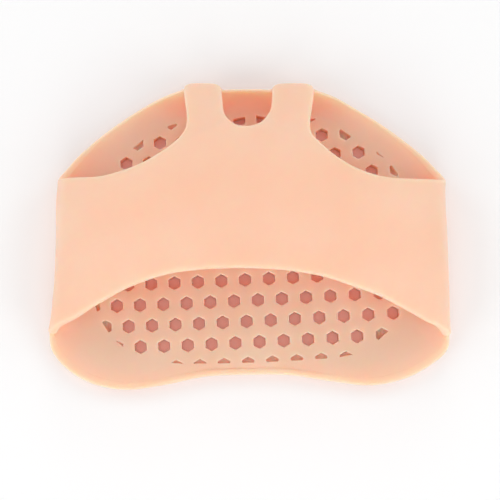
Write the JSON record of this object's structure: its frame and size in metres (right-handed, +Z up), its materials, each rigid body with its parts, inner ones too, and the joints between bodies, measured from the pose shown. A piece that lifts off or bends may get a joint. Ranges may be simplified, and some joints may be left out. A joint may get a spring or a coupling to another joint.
{
  "type": "metatarsal pad",
  "caption": "One-piece moulded silicone forefoot sleeve with a honeycomb-pierced sole, a band over the foot and straps that run between the toes.",
  "frame": {"origin": "on the supporting surface, under the middle of the pad's plan box", "axes": "+X across the foot, +Y towards the toes, +Z up from the sole to the band"},
  "size_m": [0.0974, 0.0745, 0.02],
  "materials": {
    "silicone": "soft satin translucent silicone"
  },
  "bodies": {
    "root": {"metatarsal_pad": "silicone"}
  },
  "joints": []
}
